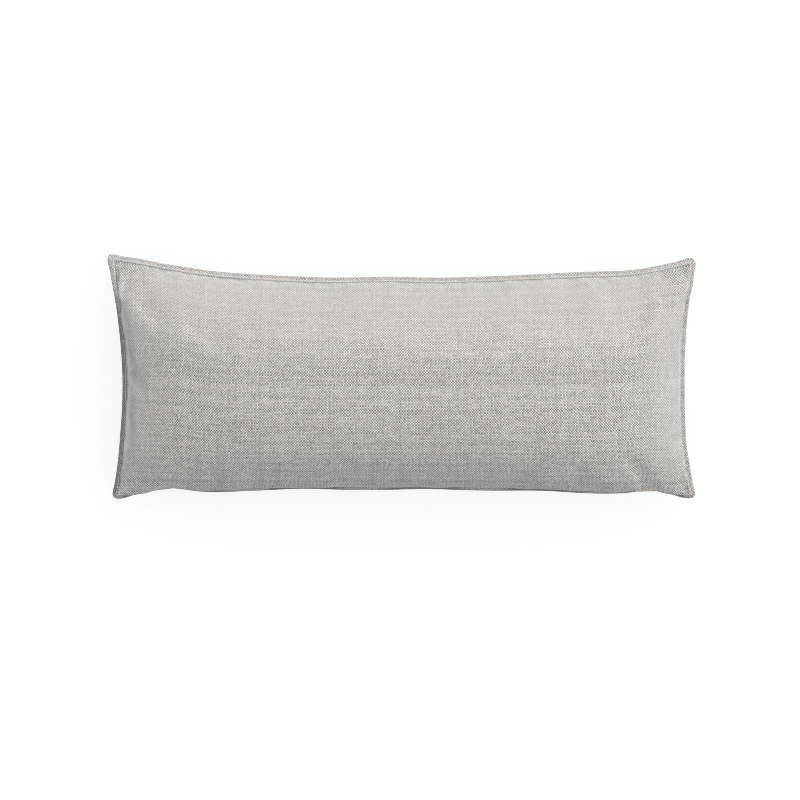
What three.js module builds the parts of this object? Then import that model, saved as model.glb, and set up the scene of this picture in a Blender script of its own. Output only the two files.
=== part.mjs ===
// Lumbar cushion: a front and a back panel of wool-look cloth, sewn together round a filling, with their
// seam allowance turned outwards as a narrow raised edge. It lies on its back with the face up.
// Millimetres. +X runs along the cushion, +Y to its upper long side, +Z up out of the face.
import * as THREE from 'three';
import { mergeVertices } from 'three/addons/utils/BufferGeometryUtils.js';

// Seam corners, where the two panels meet at the foot of the raised edge.
const CORNERS = {
  upperLeft: { x: -343.5, y: 139.6 },
  upperRight: { x: 341.3, y: 135.0 },
  lowerLeft: { x: -341.2, y: -141.0 },
  lowerRight: { x: 343.0, y: -140.5 },
};

// How far the filling draws each side in from the straight line between its corners.
// share runs from 0 at the side's left or upper corner to 1 at the other.
const DRAWN_IN = {
  upper: [
    { share: 0.0, inwards: 0.0 },
    { share: 0.05, inwards: 5.0 },
    { share: 0.1, inwards: 11.4 },
    { share: 0.19, inwards: 19.3 },
    { share: 0.36, inwards: 24.7 },
    { share: 0.48, inwards: 23.2 },
    { share: 0.58, inwards: 24.0 },
    { share: 0.81, inwards: 16.4 },
    { share: 0.91, inwards: 12.8 },
    { share: 1.0, inwards: 0.0 },
  ],
  lower: [
    { share: 0.0, inwards: 0.0 },
    { share: 0.018, inwards: 0.0 },
    { share: 0.035, inwards: 1.6 },
    { share: 0.05, inwards: 3.3 },
    { share: 0.064, inwards: 6.2 },
    { share: 0.08, inwards: 8.3 },
    { share: 0.1, inwards: 10.3 },
    { share: 0.15, inwards: 7.2 },
    { share: 0.24, inwards: 9.5 },
    { share: 0.4, inwards: 10.6 },
    { share: 0.5, inwards: 9.9 },
    { share: 0.62, inwards: 10.0 },
    { share: 0.72, inwards: 8.2 },
    { share: 0.85, inwards: 5.5 },
    { share: 0.91, inwards: 5.8 },
    { share: 0.94, inwards: 6.0 },
    { share: 0.955, inwards: 2.9 },
    { share: 0.965, inwards: 1.5 },
    { share: 0.98, inwards: 0.0 },
    { share: 1.0, inwards: 0.0 },
  ],
  left: [
    { share: 0.0, inwards: 0.0 },
    { share: 0.22, inwards: 8.5 },
    { share: 0.5, inwards: 13.8 },
    { share: 0.8, inwards: 8.6 },
    { share: 1.0, inwards: 0.0 },
  ],
  right: [
    { share: 0.0, inwards: 0.0 },
    { share: 0.085, inwards: 2.1 },
    { share: 0.15, inwards: 6.3 },
    { share: 0.3, inwards: 10.7 },
    { share: 0.5, inwards: 12.2 },
    { share: 0.77, inwards: 9.9 },
    { share: 0.87, inwards: 5.9 },
    { share: 1.0, inwards: 0.0 },
  ],
};

// Heights: the seam hangs free round the cushion, a little lower at the pinched corners.
const SEAM_HEIGHT = 52;
const CORNER_DROOP = 5;
const DROOP_POWER = 3;
const FRONT_CROWN = 57;
const BACK_CROWN = 72;
const REST_ROUNDING = 6;

// Crown curves: 0 at the seam and 1 in the middle, (1 - |t|^reach)^fullness.
const ALONG = { reach: 2.9, fullness: 0.62 };
const ACROSS = { reach: 3.2, fullness: 1.0 };
const SAG_SHIFT = 0.08;

// The filling pushes the cloth past the seam, most at the lower side of the face.
const BELLY = {
  front: { upper: 1.5, lower: 14.5, left: 4.5, right: 7 },
  back: { upper: 6, lower: 0, left: 6, right: 6 },
};
const BELLY_REACH = { lengthwise: 0.016, crosswise: 0.066 };
const BELLY_FADE = { upper: 5, lower: 16, left: 5, right: 5 };

// Raised edge: the turned seam allowance, four layers of cloth.
const EDGE_WIDTH = 5.5;
const EDGE_THICKNESS = 3.4;
const EDGE_FOOT_THICKNESS = 2.4;
const EDGE_GAP = 0.8;
const EDGE_FOLD = 1.0;
const FOOT_LEAN = 0.5;
const PLUMP_AT = 0.62;
const SHOULDER = { at: 0.93, share: 0.7 };
const EDGE_TILT = { upper: -18, right: 4 };
const LEFT_TILT = { corner: -12, turned: -38, turnedBy: 0.28 };
const LOWER_TILT = { turned: -38, ripple: 16, firstWave: 0.22, waveShare: 0.21 };
const LOWER_TUCKED = { tilt: -80, upTo: 0.07, outBy: 0.12 };
const LOWER_TIP = { tilt: -30, upTo: 0.006, outBy: 0.03 };
const CORNER_STEPS = 5;

// Facets.
const LENGTH_CELLS = 52;
const WIDTH_CELLS = 24;
const EDGE_CROWDING = 0.3;

const CLOTH = { color: 0xbeb9b5, roughness: 0.95, metalness: 0.0 };

const DEGREE = Math.PI / 180;

// A smooth curve through a side's table, read at a share of its length.
function drawnIn(rows, share) {
  const last = rows.length - 1;
  const slopeAt = (i) => {
    const a = rows[Math.max(i - 1, 0)];
    const b = rows[Math.min(i + 1, last)];
    return (b.inwards - a.inwards) / (b.share - a.share);
  };
  let i = 0;
  while (i < last - 1 && share > rows[i + 1].share) i += 1;
  const step = rows[i + 1].share - rows[i].share;
  const t = (share - rows[i].share) / step;
  const rise = t * t * (3 - 2 * t);
  const leave = t * (1 - t) * (1 - t);
  const arrive = t * t * (t - 1);
  return (1 - rise) * rows[i].inwards + rise * rows[i + 1].inwards
    + step * (leave * slopeAt(i) + arrive * slopeAt(i + 1));
}

// Point of one side's seam: on the straight line between its corners, moved inwards and drooping to them.
function sidePoint(from, to, rows, inward, share) {
  const depth = drawnIn(rows, share);
  const droop = CORNER_DROOP * Math.abs(2 * share - 1) ** DROOP_POWER;
  return new THREE.Vector3(
    THREE.MathUtils.lerp(from.x, to.x, share) + depth * inward.x,
    THREE.MathUtils.lerp(from.y, to.y, share) + depth * inward.y,
    SEAM_HEIGHT - droop,
  );
}

const SIDES = {
  upper: (share) => sidePoint(CORNERS.upperLeft, CORNERS.upperRight, DRAWN_IN.upper, { x: 0, y: -1 }, share),
  lower: (share) => sidePoint(CORNERS.lowerLeft, CORNERS.lowerRight, DRAWN_IN.lower, { x: 0, y: 1 }, share),
  left: (share) => sidePoint(CORNERS.upperLeft, CORNERS.lowerLeft, DRAWN_IN.left, { x: 1, y: 0 }, share),
  right: (share) => sidePoint(CORNERS.upperRight, CORNERS.lowerRight, DRAWN_IN.right, { x: -1, y: 0 }, share),
};

// The seam's surface between its four sides: s runs left to right, t from the upper side to the lower.
function seamSheet(s, t) {
  const point = new THREE.Vector3();
  point.addScaledVector(SIDES.upper(s), 1 - t).addScaledVector(SIDES.lower(s), t);
  point.addScaledVector(SIDES.left(t), 1 - s).addScaledVector(SIDES.right(t), s);
  point.addScaledVector(SIDES.upper(0), -(1 - s) * (1 - t)).addScaledVector(SIDES.upper(1), -s * (1 - t));
  point.addScaledVector(SIDES.lower(0), -(1 - s) * t).addScaledVector(SIDES.lower(1), -s * t);
  return point;
}

const crownCurve = ({ reach, fullness }, t) => Math.max(0, 1 - Math.abs(t) ** reach) ** fullness;

// Share of the full crown at a place, with the fullest line a little below the middle.
function crownShare(s, t) {
  const u = 2 * s - 1;
  const v = 1 - 2 * t;
  return crownCurve(ALONG, u) * crownCurve(ACROSS, v + SAG_SHIFT * (1 - v * v));
}

// How far the cloth swells outwards near one side: 0 at the seam, most a little way in, 0 at the far side.
const swell = (distance, reach) => (1 - distance) * (distance / reach) * Math.exp(1 - distance / reach);

function bellyShift(amounts, s, t) {
  const pushed = (side, along, distance, reach) =>
    amounts[side] * swell(distance, reach) * (1 - Math.abs(2 * along - 1) ** BELLY_FADE[side]);
  return {
    x: pushed('right', t, 1 - s, BELLY_REACH.lengthwise) - pushed('left', t, s, BELLY_REACH.lengthwise),
    y: pushed('upper', s, t, BELLY_REACH.crosswise) - pushed('lower', s, 1 - t, BELLY_REACH.crosswise),
  };
}

// Height of cloth that would hang to z, laid on the surface at 0 with a rounded turn.
function laidDown(z) {
  if (z >= REST_ROUNDING) return z;
  if (z <= -REST_ROUNDING) return 0;
  return (z + REST_ROUNDING) ** 2 / (4 * REST_ROUNDING);
}

function frontPoint(s, t) {
  const point = seamSheet(s, t);
  const shift = bellyShift(BELLY.front, s, t);
  return point.add(new THREE.Vector3(shift.x, shift.y, FRONT_CROWN * crownShare(s, t)));
}

function backPoint(s, t) {
  const point = seamSheet(s, t);
  const shift = bellyShift(BELLY.back, s, t);
  point.add(new THREE.Vector3(shift.x, shift.y, -BACK_CROWN * crownShare(s, t)));
  point.z = laidDown(point.z);
  return point;
}

// Stations across a side, closer together towards its ends.
function stations(cells) {
  return Array.from({ length: cells + 1 }, (_, i) => {
    const u = (2 * i) / cells - 1;
    return (1 + u * (1 + EDGE_CROWDING - EDGE_CROWDING * u * u)) / 2;
  });
}

const LENGTH_STATIONS = stations(LENGTH_CELLS);
const WIDTH_STATIONS = stations(WIDTH_CELLS);

function closedGeometry(points, triangles) {
  const geometry = new THREE.BufferGeometry();
  const numbers = points.flatMap((point) => point.toArray());
  geometry.setAttribute('position', new THREE.Float32BufferAttribute(numbers, 3));
  geometry.setIndex(triangles);
  const merged = mergeVertices(geometry, 1e-3);
  merged.computeVertexNormals();
  return merged;
}

// The filled body: both panels on one grid, meeting along the seam.
function bodyGeometry() {
  const points = [];
  const triangles = [];
  const columns = LENGTH_STATIONS.length;
  const addPanel = (pointAt, facesUp) => {
    const first = points.length;
    for (const t of WIDTH_STATIONS) {
      for (const s of LENGTH_STATIONS) points.push(pointAt(s, t));
    }
    for (let row = 0; row < WIDTH_CELLS; row += 1) {
      for (let column = 0; column < LENGTH_CELLS; column += 1) {
        const a = first + row * columns + column;
        const [b, c, d] = [a + 1, a + columns + 1, a + columns];
        // Each quarter's diagonals run to its own corner, so that no corner facet closes on itself.
        const leanLeft = (row < WIDTH_CELLS / 2) === (column < LENGTH_CELLS / 2);
        const pair = leanLeft ? [a, c, b, a, d, c] : [a, d, b, b, d, c];
        triangles.push(...(facesUp ? pair : [...pair].reverse()));
      }
    }
  };
  addPanel(frontPoint, true);
  addPanel(backPoint, false);
  return closedGeometry(points, triangles);
}

// Tilt of the raised edge above or below level. It turns down along the left side from the upper corner, and
// runs in waves along the lower side, where it's tucked under beside both corners.
function edgeTilt(side, share) {
  if (side === 'left') {
    return LEFT_TILT.corner
      + (LEFT_TILT.turned - LEFT_TILT.corner) * THREE.MathUtils.smoothstep(share, 0, LEFT_TILT.turnedBy);
  }
  if (side !== 'lower') return EDGE_TILT[side];
  const wave = Math.cos((2 * Math.PI * (share - LOWER_TILT.firstWave)) / LOWER_TILT.waveShare);
  const fromCorner = Math.min(share, 1 - share);
  return [LOWER_TUCKED, LOWER_TIP].reduce(
    (tilt, part) => THREE.MathUtils.lerp(
      part.tilt, tilt, THREE.MathUtils.smoothstep(fromCorner, part.upTo, part.outBy),
    ),
    LOWER_TILT.turned + LOWER_TILT.ripple * wave,
  );
}

// Stations of the raised edge, anticlockwise from above: seam point, outward bearing and tilt, with a fan of
// bearings at each corner.
function edgeStations() {
  const runs = [
    { side: 'lower', shares: LENGTH_STATIONS, forwards: true },
    { side: 'right', shares: WIDTH_STATIONS, forwards: false },
    { side: 'upper', shares: LENGTH_STATIONS, forwards: false },
    { side: 'left', shares: WIDTH_STATIONS, forwards: true },
  ];
  const sides = runs.map(({ side, shares, forwards }) => {
    const ordered = forwards ? shares : [...shares].reverse();
    const points = ordered.map((share) => SIDES[side](share));
    return ordered.map((share, i) => {
      const before = points[Math.max(i - 1, 0)];
      const after = points[Math.min(i + 1, points.length - 1)];
      const bearing = Math.atan2(after.y - before.y, after.x - before.x) - Math.PI / 2;
      return { point: points[i], bearing, tilt: edgeTilt(side, share) };
    });
  });
  return sides.flatMap((side, i) => {
    const last = side[side.length - 1];
    const next = sides[(i + 1) % sides.length][0];
    const turn = THREE.MathUtils.euclideanModulo(next.bearing - last.bearing, 2 * Math.PI);
    const fan = Array.from({ length: CORNER_STEPS - 1 }, (_, k) => {
      const share = (k + 1) / CORNER_STEPS;
      return {
        point: last.point,
        bearing: last.bearing + turn * share,
        tilt: THREE.MathUtils.lerp(last.tilt, next.tilt, share),
      };
    });
    return [...side, ...fan];
  });
}

// Section of the raised edge: thin where the topstitching holds its foot, plump and rounded outside.
function edgeSection() {
  const foot = EDGE_FOOT_THICKNESS / 2;
  const plump = EDGE_THICKNESS / 2;
  const shoulder = SHOULDER.share * plump;
  return [
    { out: 0, up: -foot },
    { out: PLUMP_AT * EDGE_WIDTH, up: -plump },
    { out: SHOULDER.at * EDGE_WIDTH, up: -shoulder },
    { out: EDGE_WIDTH, up: 0 },
    { out: SHOULDER.at * EDGE_WIDTH, up: shoulder },
    { out: PLUMP_AT * EDGE_WIDTH, up: plump },
    { out: 0, up: foot },
  ];
}

// The raised edge all round. Its foot leans only a share of the tilt, so it stays clear of both panels.
function edgeGeometry() {
  const section = edgeSection();
  const ring = edgeStations();
  const points = ring.flatMap(({ point, bearing, tilt }) => section.map(({ out, up }) => {
    const footLean = FOOT_LEAN * tilt * DEGREE;
    const lean = out > EDGE_FOLD ? tilt * DEGREE : footLean;
    const fold = EDGE_GAP + EDGE_FOLD;
    const outwards = fold * Math.cos(footLean) + (out - EDGE_FOLD) * Math.cos(lean) - up * Math.sin(lean);
    const upwards = fold * Math.sin(footLean) + (out - EDGE_FOLD) * Math.sin(lean) + up * Math.cos(lean);
    return new THREE.Vector3(
      point.x + outwards * Math.cos(bearing),
      point.y + outwards * Math.sin(bearing),
      point.z + upwards,
    );
  }));
  const triangles = [];
  const sides = section.length;
  ring.forEach((_, i) => {
    const here = i * sides;
    const there = ((i + 1) % ring.length) * sides;
    for (let k = 0; k < sides; k += 1) {
      const next = (k + 1) % sides;
      triangles.push(here + k, there + k, there + next, here + k, there + next, here + next);
    }
  });
  return closedGeometry(points, triangles);
}

function piece(name, geometry) {
  const mesh = new THREE.Mesh(geometry, new THREE.MeshStandardMaterial(CLOTH));
  mesh.name = name;
  return mesh;
}

const cushion = new THREE.Group();
cushion.add(piece('cushion_body', bodyGeometry()));
cushion.add(piece('edge_flange', edgeGeometry()));

// The origin is the middle of the outline, on the surface that the cushion lies on.
const middle = new THREE.Box3().setFromObject(cushion).getCenter(new THREE.Vector3());
cushion.position.set(-middle.x, -middle.y, 0);

export default cushion;
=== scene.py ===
"""A long lumbar cushion in heathered grey cloth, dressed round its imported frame.

Two panels are sewn together round a filling, and their seam allowance is turned out and
topstitched as a narrow raised edge. The cushion lies on its back with its face up. Lengths are in
metres: +X runs along the cushion, +Y to its upper long side and +Z up out of its face.
"""

from __future__ import annotations

import logging
import math
from dataclasses import dataclass, field
from enum import Enum
from typing import Any, NamedTuple

import bpy
import numpy as np
from mathutils import Matrix, Vector

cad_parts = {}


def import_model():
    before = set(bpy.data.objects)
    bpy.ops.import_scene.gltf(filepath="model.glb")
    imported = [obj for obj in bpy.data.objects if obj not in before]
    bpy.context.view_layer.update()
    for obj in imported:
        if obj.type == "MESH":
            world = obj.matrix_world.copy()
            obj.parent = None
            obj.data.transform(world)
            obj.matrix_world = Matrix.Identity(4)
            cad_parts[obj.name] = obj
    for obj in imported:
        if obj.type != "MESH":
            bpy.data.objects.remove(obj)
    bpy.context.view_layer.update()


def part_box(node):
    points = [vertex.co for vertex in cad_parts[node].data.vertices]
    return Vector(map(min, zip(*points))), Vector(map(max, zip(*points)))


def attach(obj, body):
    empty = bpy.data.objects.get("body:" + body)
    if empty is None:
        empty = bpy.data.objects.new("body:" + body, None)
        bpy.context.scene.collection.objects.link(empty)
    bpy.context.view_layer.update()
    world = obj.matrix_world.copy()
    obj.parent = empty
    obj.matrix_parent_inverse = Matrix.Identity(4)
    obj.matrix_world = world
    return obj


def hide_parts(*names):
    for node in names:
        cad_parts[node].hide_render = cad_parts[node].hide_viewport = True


Array = np.ndarray
Colour = tuple[float, float, float]

LOG = logging.getLogger("lumbar_cushion")
MM = 0.001
CLOTH_MAP = "cloth"
TAUT = "taut"
# Attribute for the paler nap where the cloth rolls over at the seam, and for painted highlight: the rim's
# sheen and light in the seam's groove painted into the colour.
RUB_AND_HIGHLIGHT_MARK = "rub_and_highlight"
# Attribute for painted shade: the colour darkened in place of the shadow beside the left seam and under
# the turned-down edge.
PAINTED_SHADE_MARK = "painted_shade"
ASKEW = "askew"


class Face(Enum):
    """The two panels of the cushion, by the way they look."""

    FRONT = 1
    BACK = -1


class Side(Enum):
    """The sides of the seam, with the way out across the flat cloth."""

    UPPER = (0.0, 1.0)
    RIGHT = (1.0, 0.0)
    LOWER = (0.0, -1.0)
    LEFT = (-1.0, 0.0)

    @property
    def lengthwise(self) -> bool:
        """Whether the side runs along the cushion."""
        return self in (Side.UPPER, Side.LOWER)


class DrawnIn(NamedTuple):
    """How far in millimetres the filling draws a side in, at a share of the side's length."""

    share: float
    inwards: float


class Corner(NamedTuple):
    """A seam corner, in millimetres from the middle of the cut panels."""

    x: float
    y: float


UPPER_LEFT = Corner(-343.5, 139.6)
UPPER_RIGHT = Corner(341.3, 135.0)
LOWER_LEFT = Corner(-341.2, -141.0)
LOWER_RIGHT = Corner(343.0, -140.5)

DRAWN_IN = {
    Side.UPPER: (
        DrawnIn(0.0, 0.0),
        DrawnIn(0.05, 5.0),
        DrawnIn(0.1, 11.4),
        DrawnIn(0.19, 19.3),
        DrawnIn(0.36, 24.7),
        DrawnIn(0.48, 23.2),
        DrawnIn(0.58, 24.0),
        DrawnIn(0.81, 16.4),
        DrawnIn(0.91, 12.8),
        DrawnIn(1.0, 0.0),
    ),
    Side.LOWER: (
        DrawnIn(0.0, 0.0),
        DrawnIn(0.018, 0.0),
        DrawnIn(0.035, 1.6),
        DrawnIn(0.05, 3.3),
        DrawnIn(0.064, 6.2),
        DrawnIn(0.08, 8.3),
        DrawnIn(0.1, 10.3),
        DrawnIn(0.15, 7.2),
        DrawnIn(0.24, 9.5),
        DrawnIn(0.4, 10.6),
        DrawnIn(0.5, 9.9),
        DrawnIn(0.62, 10.0),
        DrawnIn(0.72, 8.2),
        DrawnIn(0.85, 5.5),
        DrawnIn(0.91, 5.8),
        DrawnIn(0.94, 6.0),
        DrawnIn(0.955, 2.9),
        DrawnIn(0.965, 1.5),
        DrawnIn(0.98, 0.0),
        DrawnIn(1.0, 0.0),
    ),
    Side.LEFT: (
        DrawnIn(0.0, 0.0),
        DrawnIn(0.22, 8.5),
        DrawnIn(0.5, 13.8),
        DrawnIn(0.8, 8.6),
        DrawnIn(1.0, 0.0),
    ),
    Side.RIGHT: (
        DrawnIn(0.0, 0.0),
        DrawnIn(0.085, 2.1),
        DrawnIn(0.15, 6.3),
        DrawnIn(0.3, 10.7),
        DrawnIn(0.5, 12.2),
        DrawnIn(0.77, 9.9),
        DrawnIn(0.87, 5.9),
        DrawnIn(1.0, 0.0),
    ),
}

SIDE_ENDS = {
    Side.UPPER: (UPPER_LEFT, UPPER_RIGHT),
    Side.LOWER: (LOWER_LEFT, LOWER_RIGHT),
    Side.LEFT: (UPPER_LEFT, LOWER_LEFT),
    Side.RIGHT: (UPPER_RIGHT, LOWER_RIGHT),
}


def stations(cells: int, crowding: float = 0.3) -> Array:
    """Shares from 0 to 1 along a side, closer together towards its ends.

    Args:
        cells: How many cells the side is cut into.
        crowding: How much closer the end stations stand, from 0, even, to under 0.5.

    Returns:
        An array of cells + 1 shares.
    """
    u = np.linspace(-1.0, 1.0, cells + 1)
    return (1 + u * (1 + crowding - crowding * u * u)) / 2


def smooth_between(values: Array, places: Array) -> Array:
    """Reads a smooth curve through evenly spaced rows of values.

    Args:
        values: Rows of values, the first at place 0 and the last at place 1.
        places: Where to read the curve, from 0 to 1.

    Returns:
        One row for each place.
    """
    last = len(values) - 1
    index = np.clip(places, 0.0, 1.0) * last
    low = np.minimum(index.astype(int), last - 1)
    t = (index - low).reshape((-1,) + (1,) * (values.ndim - 1))
    before = values[np.maximum(low - 1, 0)]
    here, there = values[low], values[low + 1]
    after = values[np.minimum(low + 2, last)]
    leave, arrive = (there - before) / 2, (after - here) / 2
    rise = t * t * (3 - 2 * t)
    return (1 - rise) * here + rise * there + t * (1 - t) ** 2 * leave + t * t * (t - 1) * arrive


def smooth_step(value: Array, low: float, high: float) -> Array:
    """Rises smoothly from 0 at low to 1 at high."""
    share = np.clip((value - low) / (high - low), 0, 1)
    return share * share * (3 - 2 * share)


def smooth_grid(values: Array, rows: Array, columns: Array) -> Array:
    """Reads a smooth surface through an even grid of values.

    Args:
        values: The grid, rows first.
        rows: Places down the grid, from 0 to 1.
        columns: Places across the grid, from 0 to 1.

    Returns:
        The surface at every pair of row and column places.
    """
    down = smooth_between(values, rows)
    across = smooth_between(np.swapaxes(down, 0, 1), columns)
    return np.swapaxes(across, 0, 1)


@dataclass(frozen=True)
class Seam:
    """The line where both panels meet, hanging free round the cushion.

    Attributes:
        height: Height of the seam at the middle of a side.
        droop: How much lower it is at the pinched corners.
        droop_power: How late along a side the droop sets in.
        offset: Move in X and Y that brings the cut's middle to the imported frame's origin.
    """

    height: float = 52 * MM
    droop: float = 5 * MM
    droop_power: float = 3.0
    offset: tuple[float, float] = (0.0, 0.0)

    def drawn_in(self, side: Side, share: Array) -> Array:
        """Reads a side's table as a smooth curve.

        Args:
            side: The side to read.
            share: Shares of the side's length.

        Returns:
            How far in the side is drawn, in metres.
        """
        places = np.array([row.share for row in DRAWN_IN[side]])
        depths = np.array([row.inwards for row in DRAWN_IN[side]]) * MM
        slopes = np.empty_like(depths)
        slopes[1:-1] = (depths[2:] - depths[:-2]) / (places[2:] - places[:-2])
        slopes[0] = (depths[1] - depths[0]) / (places[1] - places[0])
        slopes[-1] = (depths[-1] - depths[-2]) / (places[-1] - places[-2])
        low = np.clip(np.searchsorted(places, share, side="left") - 1, 0, len(places) - 2)
        step = places[low + 1] - places[low]
        t = (share - places[low]) / step
        rise = t * t * (3 - 2 * t)
        bend = t * (1 - t) ** 2 * slopes[low] + t * t * (t - 1) * slopes[low + 1]
        return (1 - rise) * depths[low] + rise * depths[low + 1] + step * bend

    def corners(self) -> Array:
        """Places the four corners, a row of X and Y each."""
        ends = np.array([0.0, 1.0])
        return np.concatenate([self.points(side, ends) for side in (Side.UPPER, Side.LOWER)])[:, :2]

    def points(self, side: Side, share: Array) -> Array:
        """Places a side's seam in space.

        Args:
            side: The side to place.
            share: Shares of the side's length, from its left or upper corner.

        Returns:
            Points as rows of x, y and z.
        """
        start, end = SIDE_ENDS[side]
        depth = self.drawn_in(side, share)
        out_x, out_y = side.value
        x = (start.x + (end.x - start.x) * share) * MM - depth * out_x + self.offset[0]
        y = (start.y + (end.y - start.y) * share) * MM - depth * out_y + self.offset[1]
        z = self.height - self.droop * np.abs(2 * share - 1) ** self.droop_power
        return np.stack([x, y, z], axis=-1)

    def sheet(self, s: Array, t: Array) -> Array:
        """Spans a surface between the four sides.

        Args:
            s: Shares from the left side to the right.
            t: Shares from the upper side to the lower.

        Returns:
            A grid of points, one row for each t and one column for each s.
        """
        zero, one = np.zeros(1), np.ones(1)
        upper, lower = self.points(Side.UPPER, s)[None], self.points(Side.LOWER, s)[None]
        left, right = self.points(Side.LEFT, t)[:, None], self.points(Side.RIGHT, t)[:, None]
        u, v = s[None, :, None], t[:, None, None]
        corners = (
            (1 - u) * (1 - v) * self.points(Side.UPPER, zero)
            + u * (1 - v) * self.points(Side.UPPER, one)
            + (1 - u) * v * self.points(Side.LOWER, zero)
            + u * v * self.points(Side.LOWER, one)
        )
        return (1 - v) * upper + v * lower + (1 - u) * left + u * right - corners


@dataclass(frozen=True)
class Belly:
    """A number for each side, of how the filling pushes the cloth out past the seam."""

    upper: float
    lower: float
    left: float
    right: float


@dataclass(frozen=True)
class CrownCurve:
    """Rise of the crown from 0 at the seam to 1 in the middle: (1 - |t|^reach)^fullness."""

    reach: float
    fullness: float

    def at(self, t: Array) -> Array:
        """Reads the curve at places from -1 to 1."""
        return np.maximum(0.0, 1 - np.abs(t) ** self.reach) ** self.fullness


@dataclass(frozen=True)
class Filling:
    """The smooth form that the filling gives both panels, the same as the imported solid's.

    Attributes:
        seam: The line that both panels start from.
        front_crown: Rise of the face above the seam in the middle.
        back_crown: Drop of the back below the seam in the middle, before it is laid down.
        rest_rounding: Height over which the back turns from hanging to lying.
        along: The crown's curve from left to right.
        across: The crown's curve from the upper side to the lower.
        sag_shift: How far below the middle the crown is fullest, in half widths.
        front_belly: How far the face swells past each side of the seam.
        back_belly: How far the back does.
        belly_fade: Power by which the swell dies away towards the ends of each side.
        belly_reach: Where the swell is greatest, as shares of the length and of the width.
    """

    seam: Seam
    front_crown: float = 57 * MM
    back_crown: float = 72 * MM
    rest_rounding: float = 6 * MM
    along: CrownCurve = CrownCurve(2.9, 0.62)
    across: CrownCurve = CrownCurve(3.2, 1.0)
    sag_shift: float = 0.08
    front_belly: Belly = Belly(1.5 * MM, 14.5 * MM, 4.5 * MM, 7 * MM)
    back_belly: Belly = Belly(6 * MM, 0.0, 6 * MM, 6 * MM)
    belly_fade: Belly = Belly(5.0, 16.0, 5.0, 5.0)
    belly_reach: tuple[float, float] = (0.016, 0.066)

    def crown_share(self, s: Array, t: Array) -> Array:
        """Works out the crown's share at each grid place, fullest a little below the middle.

        Args:
            s: Shares from left to right.
            t: Shares from the upper side to the lower.

        Returns:
            A grid of shares of the full crown.
        """
        u, v = 2 * s - 1, 1 - 2 * t
        across = self.across.at(v + self.sag_shift * (1 - v * v))
        return across[:, None] * self.along.at(u)[None, :]

    def swell(self, distance: Array, reach: float) -> Array:
        """Push past the seam near one side: 0 at the seam, most a little way in."""
        return (1 - distance) * (distance / reach) * np.exp(1 - distance / reach)

    def belly_shift(self, belly: Belly, s: Array, t: Array) -> Array:
        """Works out how far the filling pushes each grid place outwards.

        Args:
            belly: The push by side.
            s: Shares from left to right.
            t: Shares from the upper side to the lower.

        Returns:
            A grid of moves in x and y.
        """
        lengthwise, crosswise = self.belly_reach
        along, down = np.abs(2 * s - 1)[None, :], np.abs(2 * t - 1)[:, None]
        right = belly.right * self.swell(1 - s, lengthwise)[None, :] * (1 - down**self.belly_fade.right)
        left = belly.left * self.swell(s, lengthwise)[None, :] * (1 - down**self.belly_fade.left)
        upper = belly.upper * self.swell(t, crosswise)[:, None] * (1 - along**self.belly_fade.upper)
        lower = belly.lower * self.swell(1 - t, crosswise)[:, None] * (1 - along**self.belly_fade.lower)
        return np.stack([right - left, upper - lower], axis=-1)

    def laid_down(self, z: Array) -> Array:
        """Lays hanging cloth on the surface at 0, with a rounded turn.

        Args:
            z: Heights that the cloth would hang at.

        Returns:
            Its heights once it lies, none below 0.
        """
        rounding = self.rest_rounding
        turned = (z + rounding) ** 2 / (4 * rounding)
        return np.where(z >= rounding, z, np.where(z <= -rounding, 0.0, turned))

    def face(self, face: Face, s: Array, t: Array) -> Array:
        """Places one panel's grid.

        Args:
            face: Which panel.
            s: Shares from left to right.
            t: Shares from the upper side to the lower.

        Returns:
            A grid of points, one row for each t.
        """
        points = self.seam.sheet(s, t)
        front = face is Face.FRONT
        points[..., :2] += self.belly_shift(self.front_belly if front else self.back_belly, s, t)
        crown = self.crown_share(s, t)
        if front:
            points[..., 2] += self.front_crown * crown
        else:
            points[..., 2] = self.laid_down(points[..., 2] - self.back_crown * crown)
        return points


def grid_normals(points: Array, face: Face) -> Array:
    """Outward unit normals of a panel's grid.

    Args:
        points: The grid of points.
        face: Which panel the grid is.

    Returns:
        A grid of unit vectors.
    """
    along = np.gradient(points, axis=1)
    down = np.gradient(points, axis=0)
    normals = np.cross(down, along) * face.value
    return normals / np.maximum(np.linalg.norm(normals, axis=-1, keepdims=True), 1e-12)


def walked(points: Array, side: Side) -> Array:
    """Walks over a panel's cloth from one side to each place of its grid.

    Args:
        points: The panel's grid of points.
        side: The side to start from.

    Returns:
        A grid of distances.
    """
    axis = 0 if side.lengthwise else 1
    step = np.linalg.norm(np.diff(points, axis=axis), axis=-1)
    distance = np.concatenate([np.zeros_like(np.take(step, [0], axis)), np.cumsum(step, axis)], axis)
    if side in (Side.UPPER, Side.LEFT):
        return distance
    return np.take(distance, [-1], axis) - distance


def ring_quads(rings: int, sides: int) -> Array:
    """Faces of a closed tube that goes round and meets itself.

    Args:
        rings: Sections round the tube, in order.
        sides: Points in each section.

    Returns:
        Rows of four indices.
    """
    here = np.arange(rings)[:, None] * sides
    there = ((np.arange(rings) + 1) % rings)[:, None] * sides
    k = np.arange(sides)[None, :]
    following = (k + 1) % sides
    return np.stack([here + k, there + k, there + following, here + following], axis=-1).reshape(-1, 4)


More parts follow.
